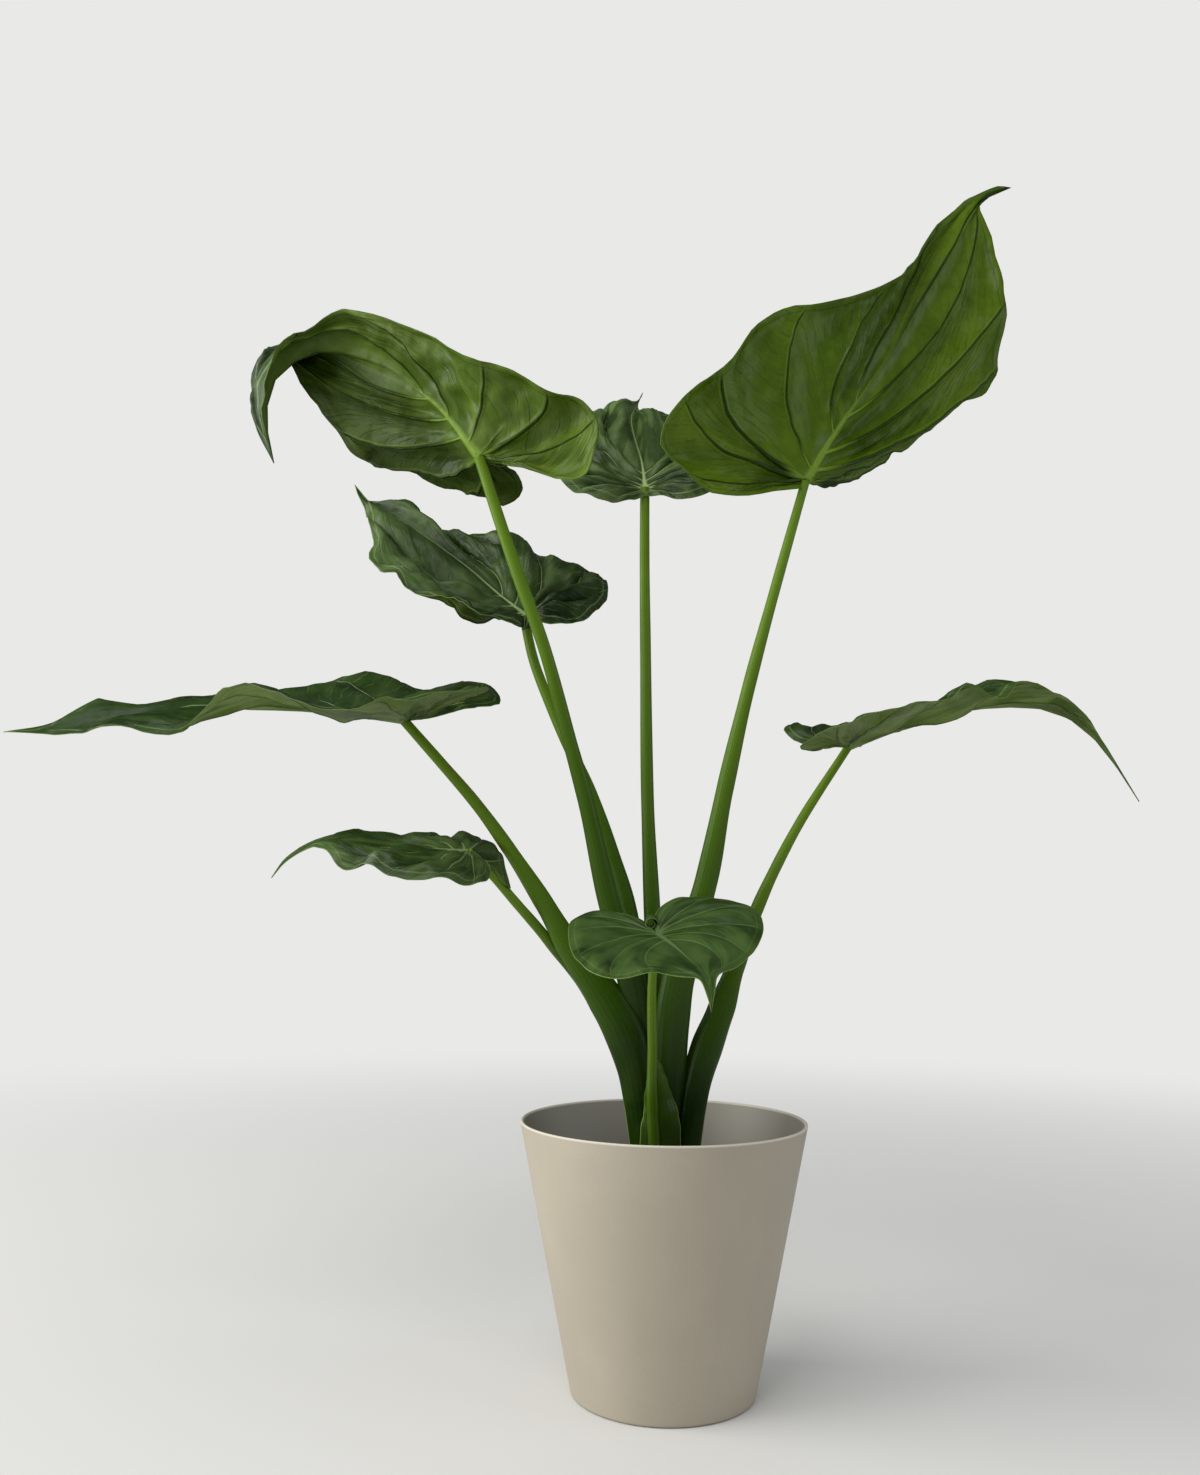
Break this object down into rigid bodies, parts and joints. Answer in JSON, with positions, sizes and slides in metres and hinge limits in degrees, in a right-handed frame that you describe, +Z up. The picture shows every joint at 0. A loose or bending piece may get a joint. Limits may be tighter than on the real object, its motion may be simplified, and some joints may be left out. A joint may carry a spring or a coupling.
{
  "type": "potted chinese taro",
  "caption": "Potted arum with large arrow-shaped leaves on long sheathing stalks, rising from soil in a plain tapered round pot.",
  "frame": {"origin": "centre of the pot's underside, on the surface that it stands on", "axes": "+Z up along the pot's axis; -Y towards the front, where the two big upper leaves show their undersides; +X to the right, towards the upper right and the right leaf"},
  "size_m": [0.914, 0.3466, 0.9912],
  "materials": {
    "pot": "satin",
    "soil": "matte",
    "stem": "matte",
    "stalk": "satin",
    "blade": "satin"
  },
  "bodies": {
    "root": {"pot": "pot", "soil": "soil", "stem": "stem", "blade_upper_right": "blade", "stalk_upper_right": "stalk", "blade_upper_left": "blade", "stalk_upper_left": "stalk", "blade_back_middle": "blade", "stalk_back_middle": "stalk", "blade_back_left": "blade", "stalk_back_left": "stalk", "blade_right": "blade", "stalk_right": "stalk", "blade_long_left": "blade", "stalk_long_left": "stalk", "blade_low_left": "blade", "stalk_low_left": "stalk", "blade_front": "blade", "stalk_front": "stalk"}
  },
  "joints": []
}
